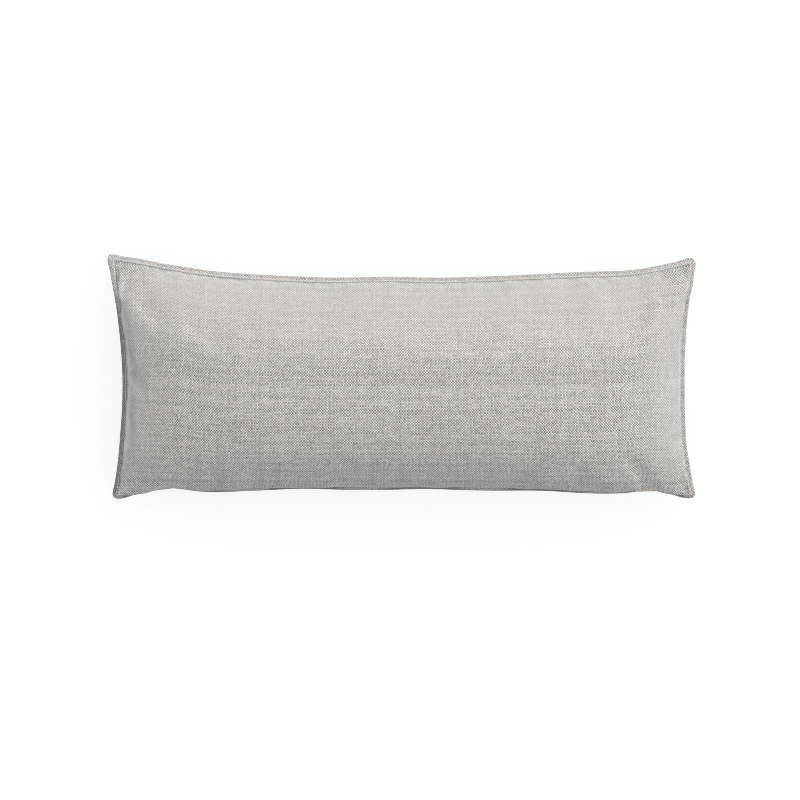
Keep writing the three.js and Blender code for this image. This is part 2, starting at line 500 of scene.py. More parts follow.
def mesh_object(
    name: str, points: Array, quads: Array, flat: Array, marks: dict[str, Array]
) -> bpy.types.Object:
    """Makes a smooth mesh object that carries its flat cloth map.

    Args:
        name: The object's name.
        points: Rows of x, y and z.
        quads: Rows of four point indices, anticlockwise from outside.
        flat: For each face corner, its place on the flat cloth.
        marks: Numbers for each point, by the attribute that keeps them for the material.

    Returns:
        The new object, linked to the scene.
    """
    mesh = bpy.data.meshes.new(name)
    mesh.from_pydata(points.tolist(), [], quads.tolist())
    mesh.polygons.foreach_set("use_smooth", np.ones(len(mesh.polygons), bool))
    layer = mesh.uv_layers.new(name=CLOTH_MAP)
    layer.data.foreach_set("uv", flat.reshape(-1).astype(np.float32))
    for mark, values in marks.items():
        mesh.attributes.new(mark, "FLOAT", "POINT").data.foreach_set("value", values.astype(np.float32))
    mesh.update()
    piece = bpy.data.objects.new(name, mesh)
    bpy.context.scene.collection.objects.link(piece)
    return piece


class ClosedGrid:
    """Both panels' grids as one closed surface whose rim rows are shared."""

    def __init__(self, rows: int, columns: int) -> None:
        """Numbers the points of a front and a back grid.

        Args:
            rows: Points from the upper side to the lower.
            columns: Points from left to right.
        """
        front = np.arange(rows * columns).reshape(rows, columns)
        inner = np.zeros((rows, columns), bool)
        inner[1:-1, 1:-1] = True
        back = front.copy()
        back[inner] = rows * columns + np.arange(int(inner.sum()))
        self.inner = inner
        self.index = {Face.FRONT: front, Face.BACK: back}

    def quads(self, face: Face) -> Array:
        """Lists the faces of one panel.

        Args:
            face: Which panel.

        Returns:
            Rows of four indices, anticlockwise from outside.
        """
        grid = self.index[face]
        a, b, c, d = grid[:-1, :-1], grid[:-1, 1:], grid[1:, 1:], grid[1:, :-1]
        order = [a, d, c, b] if face is Face.FRONT else [a, b, c, d]
        return np.stack(order, axis=-1).reshape(-1, 4)

    def join(self, front: Array, back: Array) -> Array:
        """Joins the two grids' values into one list of points, the rim taken from the front."""
        return np.concatenate([front.reshape(-1, front.shape[-1]), back[self.inner]])

    def part(self, values: Array, face: Face) -> Array:
        """Reads one panel's grid back out of a joined list."""
        return values[self.index[face]]


@dataclass
class Settling:
    """A short cloth simulation that presses the filling into the sewn panels.

    The seam and the part that lies on the surface are held. The cloth is a little longer than the
    seam that gathers it, so it lifts in soft puckers beside the seam.

    Attributes:
        cells_along: Cells of the coarse grid from left to right.
        cells_across: Its cells from the upper side to the lower.
        frames: Length of the simulation.
        pressure: Push of the filling.
        spare_cloth: Share by which the cloth is longer than its place.
        tension: Stiffness along the yarns.
        shear_share: Stiffness against shearing, as a share of the tension.
        bending: Stiffness against bending.
        damping: How fast a stretch or a shear dies down.
        bending_damping: How fast a bend dies down.
        air_damping: How much the air slows the cloth.
        cloth_mass: Mass of a point.
        quality: Steps in a frame.
        most: Length that no move goes past.
        held_below: Height under which the back counts as lying.
    """

    cells_along: int = 112
    cells_across: int = 46
    frames: int = 16
    pressure: float = 0.6
    spare_cloth: float = 0.012
    tension: float = 40.0
    shear_share: float = 0.25
    bending: float = 3.0
    damping: float = 10.0
    bending_damping: float = 1.0
    air_damping: float = 4.0
    cloth_mass: float = 0.4
    quality: int = 6
    most: float = 3.5 * MM
    held_below: float = 2 * MM

    def moves(self, filling: Filling) -> dict[Face, Array]:
        """Runs the simulation on a coarse grid.

        Args:
            filling: The smooth form to start from.

        Returns:
            For each panel, an even grid of moves, none longer than the most.
        """
        s, t = stations(self.cells_along), stations(self.cells_across)
        grid = ClosedGrid(len(t), len(s))
        start = grid.join(filling.face(Face.FRONT, s, t), filling.face(Face.BACK, s, t))
        quads = np.concatenate([grid.quads(Face.FRONT), grid.quads(Face.BACK)])
        mesh = bpy.data.meshes.new("settling")
        mesh.from_pydata(start.tolist(), [], quads.tolist())
        cloth = bpy.data.objects.new("settling", mesh)
        bpy.context.scene.collection.objects.link(cloth)
        self.hold(cloth, grid, start)
        self.add_cloth(cloth)
        for frame in range(1, self.frames + 1):
            bpy.context.scene.frame_set(frame)
        settled = self.read_points(cloth)
        bpy.data.objects.remove(cloth)
        bpy.data.meshes.remove(mesh)
        bpy.context.scene.frame_set(1)
        move = settled - start
        size = np.linalg.norm(move, axis=1, keepdims=True)
        LOG.info("settling moved the cloth by at most %.1f mm", size.max() / MM)
        move *= self.most * np.tanh(size / self.most) / np.maximum(size, 1e-9)
        return {face: grid.part(move, face) for face in Face}

    def hold(self, cloth: bpy.types.Object, grid: ClosedGrid, start: Array) -> None:
        """Holds the seam and the cloth that lies on the surface.

        Args:
            cloth: The coarse mesh.
            grid: The order of its points.
            start: The points before the simulation.
        """
        rim = grid.index[Face.FRONT][~grid.inner]
        lying = np.nonzero(start[:, 2] < self.held_below)[0]
        group = cloth.vertex_groups.new(name="held")
        group.add([int(i) for i in np.union1d(rim, lying)], 1.0, "REPLACE")

    def add_cloth(self, cloth: bpy.types.Object) -> None:
        """Sets up the Cloth modifier, with pressure and without gravity.

        Args:
            cloth: The coarse mesh.
        """
        modifier = cloth.modifiers.new("settling", "CLOTH")
        settings = modifier.settings
        settings.quality = self.quality
        settings.mass = self.cloth_mass
        settings.vertex_group_mass = "held"
        settings.tension_stiffness = self.tension
        settings.compression_stiffness = self.tension
        settings.shear_stiffness = self.tension * self.shear_share
        settings.bending_stiffness = self.bending
        settings.tension_damping = self.damping
        settings.compression_damping = self.damping
        settings.shear_damping = self.damping
        settings.bending_damping = self.bending_damping
        settings.air_damping = self.air_damping
        settings.use_pressure = True
        settings.uniform_pressure_force = self.pressure
        settings.shrink_min = -self.spare_cloth
        settings.effector_weights.gravity = 0.0
        modifier.collision_settings.use_collision = False
        modifier.collision_settings.use_self_collision = False
        modifier.point_cache.frame_start = 1
        modifier.point_cache.frame_end = self.frames

    def read_points(self, cloth: bpy.types.Object) -> Array:
        """Reads the simulated points.

        Args:
            cloth: The coarse mesh, at the last frame.

        Returns:
            Rows of x, y and z.
        """
        evaluated = cloth.evaluated_get(bpy.context.evaluated_depsgraph_get())
        mesh = evaluated.to_mesh()
        points = np.empty(len(mesh.vertices) * 3, np.float32)
        mesh.vertices.foreach_get("co", points)
        evaluated.to_mesh_clear()
        return points.reshape(-1, 3).astype(float)


@dataclass(frozen=True)
class Unevenness:
    """Soft lumps of the filling and small puckers beside the seam, on top of the settled form.

    Attributes:
        lump_height: Height of the lumps.
        lump_grid: Lumps across and along a panel.
        pucker_height: Height of the puckers.
        pucker_reach: Distance from the seam at which a pucker is highest.
        pucker_spacing: Distance from one pucker to the next.
        seed: Seed of both.
    """

    lump_height: float = 1.1 * MM
    lump_grid: tuple[int, int] = (6, 13)
    pucker_height: float = 0.55 * MM
    pucker_reach: float = 11 * MM
    pucker_spacing: float = 17 * MM
    seed: int = 7

    def relief(self, filling: Filling, face: Face, points: Array, s: Array, t: Array) -> Array:
        """Height of the small forms over a panel.

        Args:
            filling: The smooth form, which tells where the crown is.
            face: Which panel.
            points: The panel's grid of points.
            s: Shares from left to right.
            t: Shares from the upper side to the lower.

        Returns:
            A grid of heights along the outward normal.
        """
        rng = np.random.default_rng(self.seed + face.value)
        lumps = smooth_grid(rng.uniform(-1, 1, self.lump_grid), t, s)
        heights = self.lump_height * lumps * filling.crown_share(s, t)
        for side in Side:
            if side.lengthwise:
                span, places = points[0, -1, 0] - points[0, 0, 0], s
            else:
                span, places = points[0, 0, 1] - points[-1, 0, 1], t
            pattern = smooth_between(rng.uniform(-1, 1, int(span / self.pucker_spacing)), places)
            pattern = pattern[None, :] if side.lengthwise else pattern[:, None]
            reach = walked(points, side) / self.pucker_reach
            heights += self.pucker_height * pattern * reach * np.exp(1 - reach)
        fade = np.minimum(1.0, points[..., 2] / filling.rest_rounding) if face is Face.BACK else 1.0
        return heights * fade


class Graph:
    """A node tree that is written as expressions."""

    def __init__(self, tree: bpy.types.NodeTree) -> None:
        """Wraps a tree."""
        self.tree = tree

    def node(self, kind: str, settings: dict[str, Any], inputs: dict[Any, Any]) -> bpy.types.Node:
        """Adds any node.

        Args:
            kind: The node's type.
            settings: Attributes that are set before its sockets are.
            inputs: Values or links by socket name, index or identifier.

        Returns:
            The new node.
        """
        made = self.tree.nodes.new(kind)
        for key, value in settings.items():
            setattr(made, key, value)
        for key, value in inputs.items():
            self.feed(self.socket(made.inputs, key), value)
        return made

    def socket(self, sockets: Any, key: Any) -> bpy.types.NodeSocket:
        """Finds a socket.

        Args:
            sockets: A node's inputs or outputs.
            key: The socket's index, identifier or name.

        Returns:
            The socket.
        """
        if isinstance(key, int):
            return sockets[key]
        return next((x for x in sockets if x.identifier == key), None) or sockets[key]

    def feed(self, socket: bpy.types.NodeSocket, value: Any) -> None:
        """Fills an input.

        Args:
            socket: The input.
            value: An output to link it to, or its number, colour or choice.
        """
        if isinstance(value, Value):
            self.tree.links.new(value.output, socket)
        elif isinstance(value, bpy.types.NodeSocket):
            self.tree.links.new(value, socket)
        elif isinstance(value, tuple) and len(value) == 3 and socket.type == "RGBA":
            socket.default_value = (*value, 1.0)
        else:
            socket.default_value = value

    def value(self, node: bpy.types.Node, key: Any = 0) -> Value:
        """One output of a node as a value."""
        return Value(self, self.socket(node.outputs, key))

    def maths(self, operation: str, *operands: Any) -> Value:
        """Adds a Math node for an operation on values or numbers."""
        inputs = dict(enumerate(operands))
        return self.value(self.node("ShaderNodeMath", {"operation": operation}, inputs))

    def mix_colours(self, factor: Any, first: Any, second: Any, blend: str = "MIX") -> Value:
        """Mixes two colours.

        Args:
            factor: Share of the second.
            first: The first colour.
            second: The second colour.
            blend: How they mix.

        Returns:
            The mixed colour.
        """
        settings = {"data_type": "RGBA", "blend_type": blend, "clamp_factor": True}
        inputs = {"Factor_Float": factor, "A_Color": first, "B_Color": second}
        return self.value(self.node("ShaderNodeMix", settings, inputs), "Result_Color")

    def vector(self, x: Any, y: Any, z: Any = 0.0) -> Value:
        """Joins three values to a vector."""
        return self.value(self.node("ShaderNodeCombineXYZ", {}, {"X": x, "Y": y, "Z": z}))

    def noise(self, place: Any, scale: float, detail: float = 2.0, roughness: float = 0.5) -> Value:
        """Soft noise round 0.5 at a place."""
        inputs = {"Vector": place, "Scale": scale, "Detail": detail, "Roughness": roughness}
        return self.value(self.node("ShaderNodeTexNoise", {"noise_dimensions": "3D"}, inputs))

    def mark(self, name: str) -> Value:
        """A number that the mesh keeps for each point."""
        return self.value(self.node("ShaderNodeAttribute", {"attribute_name": name}, {}), "Fac")

    def chance(self, number: Any) -> Value:
        """An even chance from 0 to 1 that belongs to a whole number."""
        settings = {"noise_dimensions": "1D"}
        return self.value(self.node("ShaderNodeTexWhiteNoise", settings, {"W": number}), "Value")


class Value:
    """A number in a node tree, with the arithmetic that shaders need."""

    def __init__(self, graph: Graph, output: bpy.types.NodeSocket) -> None:
        """Wraps a node's output."""
        self.graph = graph
        self.output = output

    def __add__(self, other: Any) -> Value:
        """Sum."""
        return self.graph.maths("ADD", self, other)

    def __sub__(self, other: Any) -> Value:
        """Difference."""
        return self.graph.maths("SUBTRACT", self, other)

    def __rsub__(self, other: Any) -> Value:
        """Difference from a number."""
        return self.graph.maths("SUBTRACT", other, self)

    def __mul__(self, other: Any) -> Value:
        """Product."""
        return self.graph.maths("MULTIPLY", self, other)

    def __truediv__(self, other: Any) -> Value:
        """Quotient."""
        return self.graph.maths("DIVIDE", self, other)

    def __mod__(self, other: Any) -> Value:
        """Remainder that is never negative."""
        return self.graph.maths("FLOORED_MODULO", self, other)

    def __pow__(self, other: Any) -> Value:
        """Power."""
        return self.graph.maths("POWER", self, other)

    __radd__ = __add__
    __rmul__ = __mul__

    def at_least(self, least: float) -> Value:
        """The larger of this and a number."""
        return self.graph.maths("MAXIMUM", self, least)

    def floor(self) -> Value:
        """Whole part."""
        return self.graph.maths("FLOOR", self)

    def part(self) -> Value:
        """Part after the point."""
        return self.graph.maths("FRACT", self)

    def sine(self) -> Value:
        """Sine."""
        return self.graph.maths("SINE", self)

    def fade(self, low: float, high: float, to_low: float, to_high: float) -> Value:
        """Moves a range of values smoothly to another range.

        Args:
            low: Lower end of the range.
            high: Upper end of the range.
            to_low: What low turns into.
            to_high: What high turns into.

        Returns:
            The moved value.
        """
        settings = {"interpolation_type": "SMOOTHSTEP"}
        inputs = {"Value": self, "From Min": low, "From Max": high, "To Min": to_low, "To Max": to_high}
        return self.graph.value(self.graph.node("ShaderNodeMapRange", settings, inputs), "Result")


def new_material(name: str) -> tuple[bpy.types.Material, Graph, bpy.types.Node]:
    """Starts a material.

    Args:
        name: The material's name.

    Returns:
        The material, its graph and its Principled shader.
    """
    material = bpy.data.materials.new(name)
    material.use_nodes = True
    return material, Graph(material.node_tree), material.node_tree.nodes["Principled BSDF"]


@dataclass(frozen=True)
class Yarn:
    """One of the cloth's two yarns.

    Attributes:
        dark: Its darkest colour.
        pale: Its palest colour.
        middle: Paleness that it mostly has, from 0 to 1.
        own: How much one yarn differs from the next.
        streaks: How strong the pale and dark stretches along it are.
        flecks: How much one float differs from the next.
        streak: Length of the stretches.
        own_step: Step of the flecks' chance from one yarn to the next.
        crossed_step: Step of the flecks' chance from one crossing to the next.
        streak_step: Step of the stretches' noise from one yarn to the next.
    """

    dark: Colour
    pale: Colour
    middle: float
    own: float
    streaks: float
    flecks: float
    streak: float = 26 * MM
    own_step: float = 0.137
    crossed_step: float = 0.731
    streak_step: float = 7.31

    def tone(self, graph: Graph, number: Value, crossed: Value, along: Value, shift: float) -> Value:
        """Paleness of a yarn along its length.

        Args:
            graph: The material's graph.
            number: The yarn's whole number.
            crossed: Whole number of the yarn that it crosses.
            along: Place along the yarn.
            shift: Number that sets warp and weft apart.

        Returns:
            The paleness, about 0 to 1.
        """
        own = graph.chance(number + shift) - 0.5
        fleck = graph.chance(number * self.own_step + crossed * self.crossed_step + shift) - 0.5
        place = graph.vector(number * self.streak_step + shift, along / self.streak)
        stretch = graph.noise(place, 1.0) - 0.5
        return self.middle + self.own * own + self.streaks * stretch + self.flecks * fleck


@dataclass(frozen=True)
class WovenCloth:
    """Plain weave of pale warp and darker weft yarns, heathered, matt and a little napped.

    Attributes:
        warp: The pale yarn, along the short side.
        weft: The darker yarn, along the long side.
        weft_shift: Number that sets the weft's chances apart from the warp's.
        pitch: Distance from yarn to yarn, of the warp and of the weft.
        wander: How far yarns stray from even rows, in yarns.
        slow_wander: How much more warp and weft stray slowly, together.
        slow_patch: Size of the slow straying.
        quick_patch: Size of the quick straying, each yarn for itself.
        quick_layer: Place in the noise of the weft's quick straying.
        slant: How far crossings lean over, to one side or the other, in yarns.
        slant_patch: Size of the patches that lean the same way.
        slant_layer: Place of those patches in the noise.
        slant_turn: Range of the noise over which the lean changes sides.
        askew: How far crossings lean where the cloth is sewn askew, in yarns.
        roundness: Power of the yarns' rounding, from side to side.
        crossing_low: Height of a yarn where it dives under, as a share of its top.
        gap_shade: Brightness in the gaps between yarns.
        fibre: Size of the fibres.
        fibre_shade: How much the fibres vary the brightness.
        fibre_rub_and_highlight: How much they vary the rubbed nap and painted highlight.
        fibre_relief: Their height, as a share of the yarns'.
        relief: Height of the yarns for the bump.
        bump: Strength of the bump.
        roughness: How matt the cloth is.
        specular: How much it still shines.
        sheen: How much of its nap catches the light.
        sheen_roughness: How wide that light spreads.
        tautness: How much of the weave's contrast is lost where the seam pulls the cloth taut.
        taut_colour: The yarns' mean colour there.
        rub_and_highlight_colour: Colour of the paler nap where the cloth rolls over beside the seam, which
            also serves as a painted highlight for the sheen on that rim and painted light in the groove.
        painted_darkening: How much darker the painted shade makes the cloth, in place of the shadow beside
            the left seam and under the turned-down edge.
    """

    warp: Yarn = Yarn((0.43, 0.41, 0.392), (0.86, 0.834, 0.808), 0.5, 0.2, 0.4, 0.45)
    weft: Yarn = Yarn((0.15, 0.134, 0.122), (0.46, 0.430, 0.407), 0.42, 0.5, 1.3, 0.5)
    weft_shift: float = 0.37
    pitch: tuple[float, float] = (1.61 * MM, 1.69 * MM)
    wander: float = 0.55
    slow_wander: tuple[float, float] = (4.0, 3.0)
    slow_patch: float = 45 * MM
    quick_patch: float = 4 * MM
    quick_layer: float = 3.0
    slant: float = 0.12
    slant_patch: float = 50 * MM
    slant_layer: float = 7.0
    slant_turn: tuple[float, float] = (0.4, 0.6)
    askew: float = 0.55
    roundness: float = 0.6
    crossing_low: float = 0.4
    gap_shade: float = 0.7
    fibre: float = 0.45 * MM
    fibre_shade: float = 0.36
    fibre_rub_and_highlight: float = 0.8
    fibre_relief: float = 0.35
    relief: float = 0.4 * MM
    bump: float = 0.8
    roughness: float = 0.92
    specular: float = 0.2
    sheen: float = 0.5
    sheen_roughness: float = 0.4
    tautness: float = 0.5
    taut_colour: Colour = (0.43, 0.408, 0.393)
    rub_and_highlight_colour: Colour = (0.66, 0.637, 0.618)
    painted_darkening: float = 0.5

    def material(self, name: str) -> bpy.types.Material:
        """Builds the cloth's material on the piece's flat cloth map.

        Args:
            name: The material's name.

        Returns:
            The material.
        """
        material, graph, shader = new_material(name)
        cloth = graph.node("ShaderNodeUVMap", {"uv_map": CLOTH_MAP}, {}).outputs["UV"]
        split = graph.node("ShaderNodeSeparateXYZ", {}, {"Vector": cloth})
        x, y = graph.value(split, "X"), graph.value(split, "Y")
        column, row = self.strayed(graph, cloth, x, y)
        over, height = self.weave(graph, column, row)
        warp_tone = self.warp.tone(graph, column.floor(), row.floor(), y, 0.0)
        weft_tone = self.weft.tone(graph, row.floor(), column.floor(), x, self.weft_shift)
        warp = graph.mix_colours(warp_tone, self.warp.dark, self.warp.pale)
        weft = graph.mix_colours(weft_tone, self.weft.dark, self.weft.pale)
        colour = graph.mix_colours(over, weft, warp)
        fibres = graph.noise(cloth, 1 / self.fibre, 3.0, 0.6)
        shade = (self.gap_shade + (1 - self.gap_shade) * height) * self.varied(fibres, self.fibre_shade)
        grey = graph.vector(shade, shade, shade)
        colour = graph.mix_colours(1.0, colour, grey, "MULTIPLY")
        taut = graph.mark(TAUT) * self.tautness
        colour = graph.mix_colours(taut, colour, self.taut_colour)
        # Paler nap where the cloth rolls over at the seam, partly a painted highlight for the rim's sheen
        # and for the groove.
        rub_and_highlight = graph.mark(RUB_AND_HIGHLIGHT_MARK) * self.varied(fibres, self.fibre_rub_and_highlight)
        colour = graph.mix_colours(rub_and_highlight, colour, self.rub_and_highlight_colour)
        # Painted shade: darkens the colour where the mark lies, standing in for a shadow.
        painted_darkening = 1 - graph.mark(PAINTED_SHADE_MARK) * self.painted_darkening
        colour = graph.mix_colours(1.0, colour, graph.vector(painted_darkening, painted_darkening, painted_darkening), "MULTIPLY")
        bump_height = (height + self.fibre_relief * fibres) * (1 - taut)
        bump = graph.node(
            "ShaderNodeBump", {}, {"Strength": self.bump, "Distance": self.relief, "Height": bump_height}
        )
        graph.feed(shader.inputs["Base Color"], colour)
        graph.feed(shader.inputs["Normal"], bump.outputs["Normal"])
        shader.inputs["Roughness"].default_value = self.roughness
        shader.inputs["Specular IOR Level"].default_value = self.specular
        shader.inputs["Sheen Weight"].default_value = self.sheen
        shader.inputs["Sheen Roughness"].default_value = self.sheen_roughness
        return material

    def varied(self, fibres: Value, by: float) -> Value:
        """A factor round 1 that follows the fibres."""
        return (1 - by / 2) + by * fibres

    def strayed(self, graph: Graph, cloth: Any, x: Value, y: Value) -> tuple[Value, Value]:
        """Counts yarns across and down, with the small straying of a loose weave.

        Args:
            graph: The material's graph.
            cloth: Place on the flat cloth.
            x: Place along the cloth.
            y: Place across the cloth.

        Returns:
            The warp and weft counts, whole at the gaps between yarns.
        """
        slow = graph.noise(cloth, 1 / self.slow_patch)
        quick = graph.noise(cloth, 1 / self.quick_patch)
        other = graph.noise(graph.vector(y, x, self.quick_layer), 1 / self.quick_patch)
        slow_column, slow_row = (self.wander * times for times in self.slow_wander)
        column = x / self.pitch[0] + (slow - 0.5) * slow_column + (quick - 0.5) * self.wander
        row = y / self.pitch[1] + (slow - 0.5) * slow_row + (other - 0.5) * self.wander
        way = graph.noise(graph.vector(x, y, self.slant_layer), 1 / self.slant_patch, 1.0)
        slant = way.fade(*self.slant_turn, -self.slant, self.slant) + graph.mark(ASKEW) * self.askew
        column = column + slant * (row.part() - 0.5)
        return column, row

    def weave(self, graph: Graph, column: Value, row: Value) -> tuple[Value, Value]:
        """Works out which yarn shows and how high it stands.

        Args:
            graph: The material's graph.
            column: Warp count.
            row: Weft count.

        Returns:
            1 where the warp lies over and 0 where the weft does, and the height from 0 to 1.
        """
        over = (column.floor() + row.floor()) % 2.0
        across = (column.part() * math.pi).sine()
        down = (row.part() * math.pi).sine()
        warp_height = across**self.roundness * (self.crossing_low + (1 - self.crossing_low) * down)
        weft_height = down**self.roundness * (self.crossing_low + (1 - self.crossing_low) * across)
        return over, over * warp_height + (1 - over) * weft_height


@dataclass(frozen=True)
class SewingThread:
    """Matt spun thread, as pale as the cloth beside it where a painted highlight lightens the seam.

    Attributes:
        colour: Its colour where it catches the light.
        dark_share: Brightness between its strands, as a share of that.
        strand: Size of the strands.
        bump: Strength of the strands' bump.
        relief: Height of the strands.
        roughness: How matt it is.
        sheen: How much of its fuzz catches the light.
    """

    colour: Colour = (0.64, 0.615, 0.595)
    dark_share: float = 0.7
    strand: float = 0.25 * MM
    bump: float = 0.4
    relief: float = 0.1 * MM
    roughness: float = 0.8
    sheen: float = 0.2

    def material(self, name: str) -> bpy.types.Material:
        """Builds the thread's material, with the grain of its twist.

        Args:
            name: The material's name.

        Returns:
            The material.
        """
        material, graph, shader = new_material(name)
        place = graph.node("ShaderNodeTexCoord", {}, {}).outputs["Object"]
        grain = graph.noise(place, 1 / self.strand)
        dark = tuple(self.dark_share * c for c in self.colour)
        graph.feed(shader.inputs["Base Color"], graph.mix_colours(grain, dark, self.colour))
        bump = graph.node(
            "ShaderNodeBump", {}, {"Strength": self.bump, "Distance": self.relief, "Height": grain}
        )
        graph.feed(shader.inputs["Normal"], bump.outputs["Normal"])
        shader.inputs["Roughness"].default_value = self.roughness
        shader.inputs["Sheen Weight"].default_value = self.sheen
        return material


class AlongSide(NamedTuple):
    """A mark on the cloth beside one side of the seam.

    Attributes:
        side: The side of the seam.
        strength: The full mark, up to 1.
        near: Distance from the side up to which it is full.
        far: Distance from the side at which it is gone.
        ends: Distance from the side's ends over which it fades in.
    """

    side: Side
    strength: float
    near: float
    far: float
    ends: float = 75 * MM

    def over(self, points: Array) -> Array:
        """Works out the mark over a panel.

        Args:
            points: The panel's grid of points.

        Returns:
            A grid of strengths.
        """
        across = [side for side in Side if side.lengthwise != self.side.lengthwise]
        inside = np.minimum(*(walked(points, side) for side in across))
        near = 1 - smooth_step(walked(points, self.side), self.near, self.far)
        return self.strength * near * smooth_step(inside, 0, self.ends)


class AtCorner(NamedTuple):
    """A mark on the cloth at one corner.

    Attributes:
        sides: The two sides that meet there.
        strength: The full mark, up to 1.
        near: Distance from the corner up to which it is full.
        far: Distance from the corner at which it is gone.
    """

    sides: tuple[Side, Side]
    strength: float
    near: float
    far: float

    def over(self, points: Array) -> Array:
        """Strength of the mark over a panel's grid."""
        away = np.hypot(*(walked(points, side) for side in self.sides))
        return self.strength * (1 - smooth_step(away, self.near, self.far))


CLOTH_MARKS = {
    TAUT: (
        AlongSide(Side.UPPER, 1.0, 26 * MM, 140 * MM),
        AlongSide(Side.RIGHT, 1.0, 22 * MM, 90 * MM),
        AlongSide(Side.LOWER, 1.0, 2 * MM, 20 * MM),
        AlongSide(Side.LEFT, 1.0, 12 * MM, 78 * MM),
    ),
    # Paler nap beside the seam, partly painted highlight: strongest on the left, where the rim is painted
    # lighter than the light there makes it.
    RUB_AND_HIGHLIGHT_MARK: (
        AlongSide(Side.UPPER, 0.15, 3 * MM, 14 * MM),
        AlongSide(Side.RIGHT, 0.35, 2 * MM, 11 * MM),
        AlongSide(Side.LOWER, 0.1, 2 * MM, 9 * MM),
        AlongSide(Side.LEFT, 0.8, 4 * MM, 18 * MM),
    ),
    # Painted shade beside the left seam, standing in for the shadow on that side.
    PAINTED_SHADE_MARK: (AlongSide(Side.LEFT, 1.0, 2.5 * MM, 8 * MM, 20 * MM),),
    ASKEW: (AtCorner((Side.LOWER, Side.LEFT), 1.0, 20 * MM, 75 * MM),),
}


@dataclass
class Panels:
    """The front and back panels, filled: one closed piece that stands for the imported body.

    Attributes:
        filling: The smooth form.
        finish: The cloth.
        settling: What the simulation adds to it.
        unevenness: What the small forms add to it.
        cells_along: Cells of the fine grid from left to right.
        cells_across: Its cells from the upper side to the lower.
        back_cloth_shift: Distance between the front's and the back's cut on the cloth.
        marks: Marks on the cloth, by the attribute that keeps them for the material.
    """

    filling: Filling
    finish: WovenCloth
    settling: Settling = field(default_factory=Settling)
    unevenness: Unevenness = Unevenness()
    cells_along: int = 330
    cells_across: int = 138
    back_cloth_shift: float = 1.0
    marks: dict[str, tuple[AlongSide | AtCorner, ...]] = field(default_factory=CLOTH_MARKS.copy)

    def shape(self, moves: dict[Face, Array] | None) -> dict[Face, Array]:
        """Works out where both panels lie.

        Args:
            moves: What the simulation adds to the smooth form, if it ran.

        Returns:
            A grid of points for each panel.
        """
        s, t = stations(self.cells_along), stations(self.cells_across)
        even_s, even_t = np.linspace(0, 1, len(s)), np.linspace(0, 1, len(t))
        grids = {}
        for face in Face:
            points = self.filling.face(face, s, t)
            if moves is not None:
                points += smooth_grid(moves[face], even_t, even_s)
            relief = self.unevenness.relief(self.filling, face, points, s, t)
            points += relief[..., None] * grid_normals(points, face)
            points[..., 2] = np.maximum(points[..., 2], 0.0)
            grids[face] = points
        return grids

    def build(self) -> bpy.types.Object:
        """Builds both panels as one closed mesh.

        Returns:
            The finished object.
        """
        grids = self.shape(self.settling.moves(self.filling))
        closed = ClosedGrid(self.cells_across + 1, self.cells_along + 1)
        quads, flat = [], []
        for face in Face:
            of_face = closed.quads(face)
            place = np.zeros((closed.index[Face.BACK].max() + 1, 2))
            place[closed.index[face].reshape(-1)] = self.flatten(grids[face], face).reshape(-1, 2)
            quads.append(of_face)
            flat.append(place[of_face])
        points = closed.join(grids[Face.FRONT], grids[Face.BACK])
        marks = self.marked(grids, closed)
        piece = mesh_object("panels", points, np.concatenate(quads), np.concatenate(flat), marks)
        self.crease_seam(piece.data, closed)
        piece.data.materials.append(self.finish.material("panel_cloth"))
        return piece

    def marked(self, grids: dict[Face, Array], closed: ClosedGrid) -> dict[str, Array]:
        """Works out the marks on the cloth.

        Args:
            grids: Both panels' grids of points.
            closed: The order of the joined points.

        Returns:
            For each mark, a number for each joined point.
        """
        marks = {}
        for name, places in self.marks.items():
            front, back = (
                np.maximum.reduce([place.over(grids[face]) for place in places]) for face in Face
            )
            marks[name] = closed.join(front[..., None], back[..., None])[:, 0]
        return marks

    def flatten(self, points: Array, face: Face) -> Array:
        """Maps a panel to its flat cloth by walking along its rows and columns.

        Args:
            points: The panel's grid of points.
            face: Which panel, since the back is another cut of cloth.

        Returns:
            A grid of places on the flat cloth.
        """
        rows, columns = points.shape[:2]
        along = np.zeros((rows, columns))
        along[:, 1:] = np.cumsum(np.linalg.norm(np.diff(points, axis=1), axis=-1), axis=1)
        along -= along[:, columns // 2][:, None]
        down = np.zeros((rows, columns))
        down[1:] = np.cumsum(np.linalg.norm(np.diff(points, axis=0), axis=-1), axis=0)
        down -= down[rows // 2][None, :]
        shift = 0.0 if face is Face.FRONT else self.back_cloth_shift
        return np.stack([along + shift, -down], axis=-1)

    def crease_seam(self, mesh: bpy.types.Mesh, closed: ClosedGrid) -> None:
        """Keeps the fold at the seam crisp.

        Args:
            mesh: The panels' mesh.
            closed: The order of its points.
        """
        rim = np.zeros(len(mesh.vertices), bool)
        rim[closed.index[Face.FRONT][~closed.inner]] = True
        ends = np.empty(len(mesh.edges) * 2, np.int32)
        mesh.edges.foreach_get("vertices", ends)
        sharp = rim[ends.reshape(-1, 2)].all(axis=1)
        mesh.edges.foreach_set("use_edge_sharp", sharp)
        mesh.update()


class EdgeStation(NamedTuple):
    """One place along the raised edge's foot.

    Attributes:
        point: The seam's point there.
        bearing: The way out, as an angle from +X.
        tilt: How far the edge leans above or below level, in radians.
        flat: The point's place on the flat cloth.
        flat_bearing: The way out on the flat cloth.
    """

    point: Array
    bearing: float
    tilt: float
    flat: Array
    flat_bearing: float


